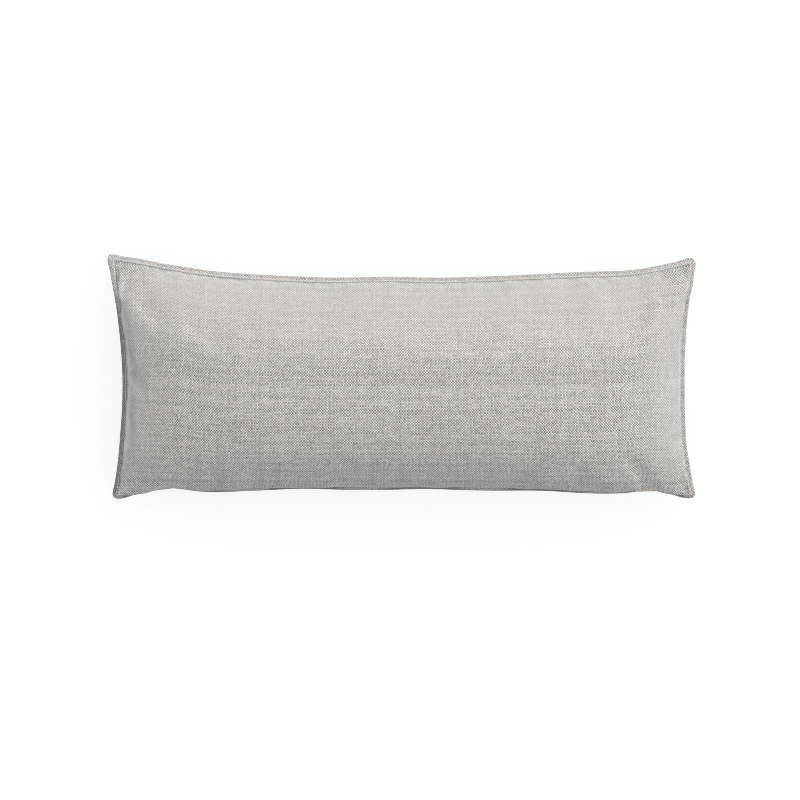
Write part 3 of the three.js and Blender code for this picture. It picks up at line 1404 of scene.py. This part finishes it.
@dataclass
class RaisedEdge:
    """The seam allowance, turned out and topstitched: one narrow ring round the cushion.

    Distances in the section run outwards from the seam. Tilts are in degrees above level.

    Attributes:
        panels: The panels that it goes round.
        finish: The cloth.
        width: Distance of the rim.
        foot_inside: How far the foot reaches in between the panels.
        foot_thickness: Thickness there.
        groove_thickness: Thickness where the stitches pull it flat.
        plump_thickness: Full thickness past them.
        plump_at: Distance at which the rim's rounding starts.
        groove_at: Distance of the stitches.
        lip: How much higher the cloth stands just inside the stitches.
        rise: Step out and up from the stitches to where the edge starts to swell.
        plump_dips: Steps out from the stitches, each with its dip below the full thickness.
        rim_notch: Depth of the fold line that runs round the rim.
        notch_from: Angle of the rounding from which the fold line dips.
        rim_power: Fullness of the rim's rounding.
        fold_over: Distance over which the edge bends to its tilt.
        upper_tilt: Tilt along the upper side.
        right_tilt: Tilt along the right side.
        left_tilts: Tilts at the upper left corner and past the turn.
        left_turned_by: Share of the left side at which it has turned under.
        lower_turned: Mean tilt along the lower side.
        lower_ripple: How much the tilt waves there.
        lower_first_wave: Share of the lower side at the top of a wave.
        lower_wave_share: Length of a wave, as a share of the side.
        lower_tucked: Tilt beside the lower corners.
        tucked_shares: Shares between which it opens from there.
        lower_tip: Tilt at the very tips of the lower corners.
        tip_shares: Shares between which it tucks under from there.
        corner_spread: How much wider the edge is at the corners.
        spread_reach: Distance from a corner over which it is.
        painted_shade_tilts: Tilts at which the painted shade on the turned-down edge starts and is
            darkest.
        foot_points: Points of the half section that belong to the foot.
        foot_painted_light: Strength of the painted light at the foot, lightening the shade in the groove.
        foot_lean: Share of the tilt that the foot already has.
        corner_steps: Steps that the edge turns a corner in.
        half_points: Points of the rim's rounding in a half section.
        width_unevenness: How much the width varies.
        width_knots: How often it varies round the cushion.
        closing_rate: How fast the variation sets in from the ring's joint, for each station.
        cut_size: Length and width of the cut panels.
        seed: Seed of the variation.
    """

    panels: Panels
    finish: WovenCloth
    width: float = 5.85 * MM
    foot_inside: float = 0.9 * MM
    foot_thickness: float = 2.2 * MM
    groove_thickness: float = 2.7 * MM
    plump_thickness: float = 3.0 * MM
    plump_at: float = 4.0 * MM
    groove_at: float = 0.45 * MM
    lip: float = 0.08 * MM
    rise: tuple[float, float] = (0.45 * MM, 0.1 * MM)
    plump_dips: tuple[tuple[float, float], ...] = ((1.0 * MM, 0.16 * MM), (1.8 * MM, 0.05 * MM))
    rim_notch: float = 0.3 * MM
    notch_from: float = 1.2
    rim_power: float = 0.85
    fold_over: float = 2.2 * MM
    upper_tilt: float = -18.0
    right_tilt: float = 4.0
    left_tilts: tuple[float, float] = (-12.0, -38.0)
    left_turned_by: float = 0.28
    lower_turned: float = -38.0
    lower_ripple: float = 16.0
    lower_first_wave: float = 0.22
    lower_wave_share: float = 0.21
    lower_tucked: float = -80.0
    tucked_shares: tuple[float, float] = (0.07, 0.12)
    lower_tip: float = -30.0
    tip_shares: tuple[float, float] = (0.006, 0.03)
    corner_spread: float = 1.2
    spread_reach: float = 14 * MM
    painted_shade_tilts: tuple[float, float] = (-24.0, -38.0)
    foot_points: int = 5
    foot_painted_light: float = 0.25
    foot_lean: float = 0.5
    corner_steps: int = 12
    half_points: int = 12
    width_unevenness: float = 0.04
    width_knots: int = 60
    closing_rate: float = 0.12
    cut_size: tuple[float, float] = (700 * MM, 284 * MM)
    seed: int = 21

    def tilt(self, side: Side, share: Array) -> Array:
        """Works out how far the edge leans above or below level.

        Args:
            side: The side of the seam.
            share: Shares of the side's length, from its left or upper corner.

        Returns:
            Angles in radians.
        """
        if side is Side.UPPER:
            return np.radians(np.full_like(share, self.upper_tilt))
        if side is Side.RIGHT:
            return np.radians(np.full_like(share, self.right_tilt))
        if side is Side.LEFT:
            corner, middle = self.left_tilts
            return np.radians(corner + (middle - corner) * smooth_step(share, 0, self.left_turned_by))
        wave = np.cos(2 * np.pi * (share - self.lower_first_wave) / self.lower_wave_share)
        from_corner = np.minimum(share, 1 - share)
        opened = smooth_step(from_corner, *self.tucked_shares)
        tucked = smooth_step(from_corner, *self.tip_shares)
        tilt = self.lower_turned + self.lower_ripple * wave
        tilt = self.lower_tucked + (tilt - self.lower_tucked) * opened
        tilt = self.lower_tip + (tilt - self.lower_tip) * tucked
        return np.radians(tilt)

    def stations_round(self) -> list[EdgeStation]:
        """Lists the foot's places anticlockwise from above, with a fan at each corner.

        Returns:
            The stations in order.
        """
        seam = self.panels.filling.seam
        s, t = stations(self.panels.cells_along), stations(self.panels.cells_across)
        rim = {Side.LOWER: (s, 1), Side.RIGHT: (t, -1), Side.UPPER: (s, -1), Side.LEFT: (t, 1)}
        runs = []
        for side, (share, order) in rim.items():
            points = seam.points(side, share)[::order]
            slope = np.gradient(points, axis=0)
            bearing = np.unwrap(np.arctan2(slope[:, 1], slope[:, 0])) - np.pi / 2
            tilt = self.tilt(side, share)[::order]
            flats = self.cut_side(points, side)
            flat_bearing = math.atan2(side.value[1], side.value[0])
            runs.append([EdgeStation(*each, flat_bearing) for each in zip(points, bearing, tilt, flats)])
        around = []
        for run, following in zip(runs, runs[1:] + runs[:1]):
            around += run + self.corner_fan(run[-1], following[0])
        return around

    def cut_side(self, points: Array, side: Side) -> Array:
        """Places a side's seam on the flat cloth, a plain rectangle round its middle.

        Args:
            points: The seam's points in space, anticlockwise.
            side: Which side they are.

        Returns:
            A row of x and y for each point.
        """
        share = np.concatenate([[0.0], np.cumsum(np.linalg.norm(np.diff(points, axis=0), axis=1))])
        run = (2 * share / share[-1] - 1) / 2
        out_x, out_y = side.value
        length, width = self.cut_size
        x = out_x * length / 2 - out_y * length * run
        y = out_y * width / 2 + out_x * width * run
        return np.stack([x, y], axis=-1)

    def corner_fan(self, last: EdgeStation, first: EdgeStation) -> list[EdgeStation]:
        """Turns the edge round a corner.

        Args:
            last: The last station of one side.
            first: The first station of the next.

        Returns:
            Stations between them, all at the corner.
        """
        turn = (first.bearing - last.bearing) % (2 * math.pi)
        fan = []
        for share in np.arange(1, self.corner_steps) / self.corner_steps:
            fan.append(
                EdgeStation(
                    last.point,
                    last.bearing + turn * share,
                    last.tilt + (first.tilt - last.tilt) * share,
                    last.flat,
                    last.flat_bearing + math.pi / 2 * share,
                )
            )
        return fan

    def half_section(self) -> Array:
        """Upper half of the section, from the foot to the rim.

        Returns:
            Rows of distance out from the seam and height above the middle.
        """
        groove, plump = self.groove_thickness / 2, self.plump_thickness / 2
        foot = [
            [-self.foot_inside, self.foot_thickness / 2],
            [0.0, groove + self.lip],
            [self.groove_at, groove],
            [self.groove_at + self.rise[0], groove + self.rise[1]],
        ]
        foot += [[self.groove_at + out, plump - dip] for out, dip in self.plump_dips]
        angle = np.linspace(0, np.pi / 2, self.half_points)
        reach = self.width - self.plump_at
        dipped = np.clip((angle - self.notch_from) / (np.pi / 2 - self.notch_from), 0, 1)
        outwards = self.plump_at + reach * np.sin(angle) - self.rim_notch * dipped**2
        rim = np.stack([outwards, plump * np.cos(angle) ** self.rim_power], axis=-1)
        rim[-1, 1] = 0.0
        return np.concatenate([foot, rim])

    def section_at(self, station: EdgeStation, half: Array, stretch: float) -> tuple[Array, Array]:
        """Bends the section to a station's tilt.

        Args:
            station: Where the section stands.
            half: The upper half section.
            stretch: How wide the edge is here, against its mean.

        Returns:
            The section's points in space, upper half then lower half back to the foot, and the
            distance walked over the cloth from the seam for each point of a half.
        """
        out = np.where(half[:, 0] > 0, half[:, 0] * stretch, half[:, 0])
        folded = np.clip(out / self.fold_over, 0, 1)
        lean = station.tilt * (self.foot_lean + (1 - self.foot_lean) * folded)
        step = np.diff(out, prepend=0.0)
        step[0] = out[0]
        middle_out = np.cumsum(step * np.cos(lean))
        middle_up = np.cumsum(step * np.sin(lean))
        across = np.array([math.cos(station.bearing), math.sin(station.bearing)])
        halves = []
        for way in (1, -1):
            outwards = middle_out - way * half[:, 1] * np.sin(lean)
            upwards = middle_up + way * half[:, 1] * np.cos(lean)
            level = station.point[:2] + outwards[:, None] * across
            halves.append(np.column_stack([level, station.point[2] + upwards]))
        walked_out = np.concatenate([[0.0], np.cumsum(np.hypot(*np.diff(half, axis=0).T))]) + out[0]
        return np.concatenate([halves[0], halves[1][-2::-1]]), walked_out

    def widths(self, around: list[EdgeStation]) -> Array:
        """Works out how wide the edge is, against its mean.

        Args:
            around: The stations round the cushion.

        Returns:
            A number round 1 for each station.
        """
        rng = np.random.default_rng(self.seed)
        spread = smooth_between(rng.uniform(-1, 1, self.width_knots), np.linspace(0, 1, len(around)))
        number = np.arange(len(around))
        spread *= np.minimum(1, self.closing_rate * np.minimum(number, number[::-1]))
        level = np.array([station.point[:2] for station in around])
        corners = self.panels.filling.seam.corners()
        away = np.min([np.hypot(*(level - corner).T) for corner in corners], axis=0)
        cornered = 1 - smooth_step(away, 0, self.spread_reach)
        return 1 + self.width_unevenness * spread + (self.corner_spread - 1) * cornered

    def sweep(self, around: list[EdgeStation]) -> tuple[Array, Array]:
        """Carries the section round the cushion.

        Args:
            around: The stations round the cushion.

        Returns:
            Points by station and by point of the section, and their places on the front and the
            back cloth by station, by face and by point of a half section.
        """
        half = self.half_section()
        points, flats = [], []
        for station, wide in zip(around, self.widths(around)):
            section, walked_out = self.section_at(station, half, wide)
            way = np.array([math.cos(station.flat_bearing), math.sin(station.flat_bearing)])
            points.append(section)
            on_cloth = station.flat + walked_out[:, None] * way
            flats.append([on_cloth, on_cloth + (self.panels.back_cloth_shift, 0.0)])
        return np.array(points), np.array(flats)

    def build(self) -> bpy.types.Object:
        """Builds the edge as one closed ring.

        Returns:
            The finished object.
        """
        around = self.stations_round()
        points, flats = self.sweep(around)
        rings, sides = points.shape[:2]
        quads = ring_quads(rings, sides)
        flat = self.flat_corners(flats, rings, sides, flats.shape[2])
        marks = {mark: np.zeros(rings * sides) for mark in self.panels.marks}
        # Painted shade on the edge, growing as it tilts under, in place of its shadow.
        tilts = np.degrees([station.tilt for station in around])
        level, turned = self.painted_shade_tilts
        painted_darkening = np.repeat(np.clip((tilts - level) / (turned - level), 0, 1), sides)
        foot = np.minimum(np.arange(sides), sides - 1 - np.arange(sides)) < self.foot_points
        marks[PAINTED_SHADE_MARK] = painted_darkening
        # Painted light at the foot, lightening the groove's shade, except where painted shade lies.
        marks[RUB_AND_HIGHLIGHT_MARK] = self.foot_painted_light * np.tile(foot, rings) * (1 - painted_darkening)
        piece = mesh_object("raised_edge", points.reshape(-1, 3), quads[:, ::-1], flat[:, ::-1], marks)
        piece.data.materials.append(self.finish.material("edge_cloth"))
        return piece

    def flat_corners(self, flats: Array, rings: int, sides: int, half: int) -> Array:
        """Gives every face corner its place on the front or back cloth.

        Args:
            flats: Places by station, by face and by point of a half section.
            rings: Stations round the cushion.
            sides: Points in a whole section.
            half: Points in a half section.

        Returns:
            Places for the four corners of each face.
        """
        front = np.arange(sides) < half - 1
        of_point = {
            Face.FRONT: np.minimum(np.arange(sides + 1), half - 1),
            Face.BACK: np.clip(sides - np.arange(sides + 1), 0, half - 1),
        }
        corners = np.empty((rings, sides, 4, 2))
        following = (np.arange(rings) + 1) % rings
        for number, face in enumerate(Face):
            chosen = front if face is Face.FRONT else ~front
            near = of_point[face][:-1][chosen]
            far = of_point[face][1:][chosen]
            here, there = flats[:, number], flats[following, number]
            corners[:, chosen, 0] = here[:, near]
            corners[:, chosen, 1] = there[:, near]
            corners[:, chosen, 2] = there[:, far]
            corners[:, chosen, 3] = here[:, far]
        return corners.reshape(-1, 4, 2)

    def stitch_line(self, face: Face, lift: float) -> Array:
        """Finds the line that the topstitching follows.

        Args:
            face: The side of the edge that it shows on.
            lift: Height of the thread's middle above the cloth.

        Returns:
            Points round the cushion.
        """
        line = []
        for station in self.stations_round():
            lean = station.tilt * self.foot_lean
            up = face.value * (self.groove_thickness / 2 + lift)
            out = self.groove_at * math.cos(lean) - up * math.sin(lean)
            rise = self.groove_at * math.sin(lean) + up * math.cos(lean)
            x, y, z = station.point
            across, along = math.cos(station.bearing), math.sin(station.bearing)
            line.append([x + out * across, y + out * along, z + rise])
        return np.array(line)


@dataclass
class Topstitching:
    """Thread stitches all round the foot of the raised edge, on its face and its back.

    Attributes:
        edge: The raised edge that they hold.
        finish: The thread.
        pitch: Distance from one stitch to the next.
        stitch: Length of a stitch.
        thread_radius: Half the thickness of the thread.
        lift: Height of the thread's middle above the cloth.
        unevenness: How much stitches differ in length.
        ball_segments: Sides of the round shape that a stitch is made of.
        ball_rings: Its rings.
        seed: Seed of the lengths.
    """

    edge: RaisedEdge
    finish: SewingThread
    pitch: float = 3.4 * MM
    stitch: float = 2.9 * MM
    thread_radius: float = 0.3 * MM
    lift: float = 0.08 * MM
    unevenness: float = 0.08
    ball_segments: int = 8
    ball_rings: int = 6
    seed: int = 5

    def build(self) -> bpy.types.Object:
        """Lays the stitches along their two lines.

        Returns:
            One plain mesh of all the stitches.
        """
        lines = [self.edge.stitch_line(face, self.lift) for face in Face]
        points, edges, first = [], [], 0
        for line in lines:
            count = len(line)
            points += line.tolist()
            edges += [(first + i, first + (i + 1) % count) for i in range(count)]
            first += count
        mesh = bpy.data.meshes.new("stitch_lines")
        mesh.from_pydata(points, edges, [])
        host = bpy.data.objects.new("stitch_lines", mesh)
        bpy.context.scene.collection.objects.link(host)
        modifier = host.modifiers.new("stitches", "NODES")
        modifier.node_group = self.tree(self.finish.material("sewing_thread"))
        self.set_inputs(modifier)
        return plain_copy(host, "topstitching")

    def set_inputs(self, modifier: bpy.types.Modifier) -> None:
        """Sets the tree's inputs by their identifiers.

        Args:
            modifier: The modifier that runs the tree.
        """
        wanted = {
            "Pitch": self.pitch,
            "Stitch length": self.stitch,
            "Thread radius": self.thread_radius,
            "Unevenness": self.unevenness,
            "Seed": self.seed,
        }
        for item in modifier.node_group.interface.items_tree:
            if getattr(item, "in_out", "") == "INPUT" and item.name in wanted:
                modifier[item.identifier] = wanted[item.name]

    def tree(self, material: bpy.types.Material) -> bpy.types.NodeTree:
        """Builds the Geometry Nodes tree that sets a stitch at every pitch.

        Args:
            material: The thread's material.

        Returns:
            The tree.
        """
        tree = bpy.data.node_groups.new("topstitching", "GeometryNodeTree")
        sockets = tree.interface
        sockets.new_socket("Geometry", in_out="INPUT", socket_type="NodeSocketGeometry")
        sizes = ("Pitch", "Stitch length", "Thread radius", "Unevenness")
        for name in sizes:
            sockets.new_socket(name, in_out="INPUT", socket_type="NodeSocketFloat")
        sockets.new_socket("Seed", in_out="INPUT", socket_type="NodeSocketInt")
        sockets.new_socket("Geometry", in_out="OUTPUT", socket_type="NodeSocketGeometry")
        graph = Graph(tree)
        given = graph.node("NodeGroupInput", {}, {})
        pitch, length, radius, spread = (graph.value(given, name) for name in sizes)
        curve = graph.node("GeometryNodeMeshToCurve", {}, {"Mesh": given.outputs["Geometry"]})
        spaced = graph.node(
            "GeometryNodeResampleCurve",
            {"mode": "LENGTH"},
            {"Curve": curve.outputs["Curve"], "Length": pitch},
        )
        tangent = graph.node("GeometryNodeInputTangent", {}, {})
        turned = graph.node(
            "FunctionNodeAlignRotationToVector", {"axis": "X"}, {"Vector": tangent.outputs["Tangent"]}
        )
        ball = graph.node(
            "GeometryNodeMeshUVSphere",
            {},
            {"Segments": self.ball_segments, "Rings": self.ball_rings, "Radius": 1.0},
        )
        factor = graph.node(
            "FunctionNodeRandomValue",
            {"data_type": "FLOAT"},
            {"Min_001": 1 - spread, "Max_001": 1 + spread, "Seed": graph.value(given, "Seed")},
        )
        scale = graph.node(
            "ShaderNodeCombineXYZ",
            {},
            {
                "X": length * 0.5 * graph.value(factor, "Value_001"),
                "Y": radius,
                "Z": radius,
            },
        )
        placed = graph.node(
            "GeometryNodeInstanceOnPoints",
            {},
            {
                "Points": spaced.outputs["Curve"],
                "Instance": ball.outputs["Mesh"],
                "Rotation": turned.outputs["Rotation"],
                "Scale": scale.outputs["Vector"],
            },
        )
        real = graph.node("GeometryNodeRealizeInstances", {}, {"Geometry": placed.outputs["Instances"]})
        smooth = graph.node("GeometryNodeSetShadeSmooth", {}, {"Geometry": real.outputs["Geometry"]})
        dressed = graph.node(
            "GeometryNodeSetMaterial", {}, {"Geometry": smooth.outputs["Geometry"], "Material": material}
        )
        graph.node("NodeGroupOutput", {}, {"Geometry": dressed.outputs["Geometry"]})
        return tree


def plain_copy(host: bpy.types.Object, name: str) -> bpy.types.Object:
    """Turns an object's evaluated geometry into a plain mesh object and removes the host.

    Args:
        host: The object with live modifiers.
        name: The new object's name.

    Returns:
        The plain object.
    """
    evaluated = host.evaluated_get(bpy.context.evaluated_depsgraph_get())
    mesh = bpy.data.meshes.new_from_object(evaluated)
    mesh.name = name
    piece = bpy.data.objects.new(name, mesh)
    bpy.context.scene.collection.objects.link(piece)
    old = host.data
    bpy.data.objects.remove(host)
    bpy.data.meshes.remove(old)
    return piece


@dataclass(frozen=True)
class Studio:
    """Plain pale floor and plain soft light, strongest from the cushion's upper right.

    Attributes:
        floor_size: Length of the floor's sides.
        floor_colour: Its colour.
        floor_bounce: Share of its colour that it throws back on the cushion.
        floor_glow: Share of its brightness in the picture that is its own light.
        floor_roughness: How matt it is.
        floor_specular: How much it still shines.
        sky: Strength of the soft light from all round.
        sky_lean: How much stronger it is towards +X, +Y and +Z.
        backdrop: Brightness of the sky in the picture.
        key_from: The way to the key light.
        key_distance: How far off it hangs.
        key_size: How wide it is.
        key_power: How strong it is.
        pixel_filter: Width over which the picture's pixels blend.
    """

    floor_size: float = 12.0
    floor_colour: Colour = (0.93, 0.93, 0.93)
    floor_bounce: float = 0.42
    floor_glow: float = 0.82
    floor_roughness: float = 0.9
    floor_specular: float = 0.1
    sky: float = 0.98
    sky_lean: tuple[float, float, float] = (0.84, 0.86, 0.38)
    backdrop: float = 1.1
    key_from: tuple[float, float, float] = (0.55, 1.0, 0.62)
    key_distance: float = 2.6
    key_size: float = 1.3
    key_power: float = 6.0
    pixel_filter: float = 0.9

    def build(self) -> None:
        """Builds the floor, the sky and the key light."""
        self.build_floor()
        self.build_sky()
        self.build_key()
        bpy.context.scene.view_settings.view_transform = "Standard"
        bpy.context.scene.cycles.filter_width = self.pixel_filter

    def build_floor(self) -> None:
        """Lays the floor at the height that the cushion rests on."""
        half = self.floor_size / 2
        mesh = bpy.data.meshes.new("floor")
        corners = [(-half, -half, 0), (half, -half, 0), (half, half, 0), (-half, half, 0)]
        mesh.from_pydata(corners, [], [(0, 1, 2, 3)])
        floor = bpy.data.objects.new("floor", mesh)
        bpy.context.scene.collection.objects.link(floor)
        material, graph, shader = new_material("floor")
        seen = graph.value(graph.node("ShaderNodeLightPath", {}, {}), "Is Camera Ray")
        dulled = tuple(self.floor_bounce * c for c in self.floor_colour)
        lit = tuple((1 - self.floor_glow) * c for c in self.floor_colour)
        graph.feed(shader.inputs["Base Color"], graph.mix_colours(seen, dulled, lit))
        graph.feed(shader.inputs["Emission Color"], graph.vector(seen, seen, seen))
        shader.inputs["Emission Strength"].default_value = self.floor_glow
        shader.inputs["Roughness"].default_value = self.floor_roughness
        shader.inputs["Specular IOR Level"].default_value = self.floor_specular
        mesh.materials.append(material)

    def build_sky(self) -> None:
        """Wraps the set in soft light that is stronger on one side."""
        world = bpy.data.worlds.new("studio")
        bpy.context.scene.world = world
        world.use_nodes = True
        graph = Graph(world.node_tree)
        way = graph.node("ShaderNodeTexCoord", {}, {}).outputs["Generated"]
        lean = graph.node("ShaderNodeVectorMath", {"operation": "DOT_PRODUCT"}, {0: way, 1: self.sky_lean})
        strength = (graph.value(lean, "Value") + self.sky).at_least(0.0)
        seen = graph.value(graph.node("ShaderNodeLightPath", {}, {}), "Is Camera Ray")
        strength = strength * (1 - seen) + self.backdrop * seen
        background = world.node_tree.nodes["Background"]
        background.inputs["Color"].default_value = (1.0, 1.0, 1.0, 1.0)
        graph.feed(background.inputs["Strength"], strength)

    def build_key(self) -> None:
        """Hangs one large soft key light."""
        way = Vector(self.key_from).normalized()
        lamp = bpy.data.lights.new("key", "AREA")
        lamp.shape = "DISK"
        lamp.size = self.key_size
        lamp.energy = self.key_power
        key = bpy.data.objects.new("key", lamp)
        key.location = way * self.key_distance
        key.rotation_euler = way.to_track_quat("Z", "Y").to_euler()
        bpy.context.scene.collection.objects.link(key)


@dataclass(frozen=True)
class PhotoCamera:
    """The photograph's view: nearly face on, leaning a little towards the upper side.

    Attributes:
        picture_px: Width and height of the picture, in pixels.
        centre_px: Where the cushion's middle shows in it.
        metres_per_px: Scale at the plane's height.
        distance: From the camera to that plane.
        lean: Degrees between the view and straight down.
        plane_height: Height of the seam's plane.
        sensor: Width of the camera's sensor, in millimetres.
        clip_end: How far the camera sees.
    """

    picture_px: int = 800
    centre_px: tuple[float, float] = (402.4, 377.6)
    metres_per_px: float = 1.19 * MM
    distance: float = 4.5
    lean: float = 6.5
    plane_height: float = 52 * MM
    sensor: float = 36.0
    clip_end: float = 50.0

    def build(self) -> None:
        """Builds the camera and makes it the scene's own."""
        lean = math.radians(self.lean)
        back = Vector((0.0, math.sin(lean), math.cos(lean)))
        up = Vector((0.0, math.cos(lean), -math.sin(lean)))
        right = Vector((1.0, 0.0, 0.0))
        off_x = self.picture_px / 2 - self.centre_px[0]
        off_y = self.centre_px[1] - self.picture_px / 2
        aim = Vector((0.0, 0.0, self.plane_height))
        aim += (right * off_x + up * off_y) * self.metres_per_px
        data = bpy.data.cameras.new("camera")
        data.sensor_width = self.sensor
        data.lens = self.sensor * self.distance / (self.picture_px * self.metres_per_px)
        data.clip_end = self.clip_end
        camera = bpy.data.objects.new("camera", data)
        place = Matrix((right, up, back)).transposed().to_4x4()
        place.translation = aim + back * self.distance
        camera.matrix_world = place
        bpy.context.scene.collection.objects.link(camera)
        bpy.context.scene.camera = camera


def seam_for_frame(places: int = 400) -> Seam:
    """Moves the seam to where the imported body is, whose lowest X and Y are the seam's.

    Args:
        places: How many places of each side to look at.

    Returns:
        The seam in the frame.
    """
    low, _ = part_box("cushion_body")
    plain = Seam()
    share = np.linspace(0, 1, places)
    around = np.concatenate([plain.points(side, share) for side in Side])
    return Seam(offset=(low.x - around[:, 0].min(), low.y - around[:, 1].min()))


def main() -> None:
    """Builds the cushion, its stage and its camera."""
    logging.basicConfig(level=logging.INFO, format="%(name)s: %(message)s")
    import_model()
    PhotoCamera().build()
    Studio().build()
    cloth = WovenCloth()
    panels = Panels(Filling(seam_for_frame()), cloth)
    body = panels.build()
    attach(body, "root")
    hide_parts("cushion_body")
    LOG.info("panels: %d faces", len(body.data.polygons))
    raised = RaisedEdge(panels, cloth)
    edge = raised.build()
    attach(edge, "root")
    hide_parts("edge_flange")
    LOG.info("raised edge: %d faces", len(edge.data.polygons))
    stitches = Topstitching(raised, SewingThread()).build()
    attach(stitches, "root")
    LOG.info("topstitching: %d faces", len(stitches.data.polygons))


if __name__ == "__main__":
    main()
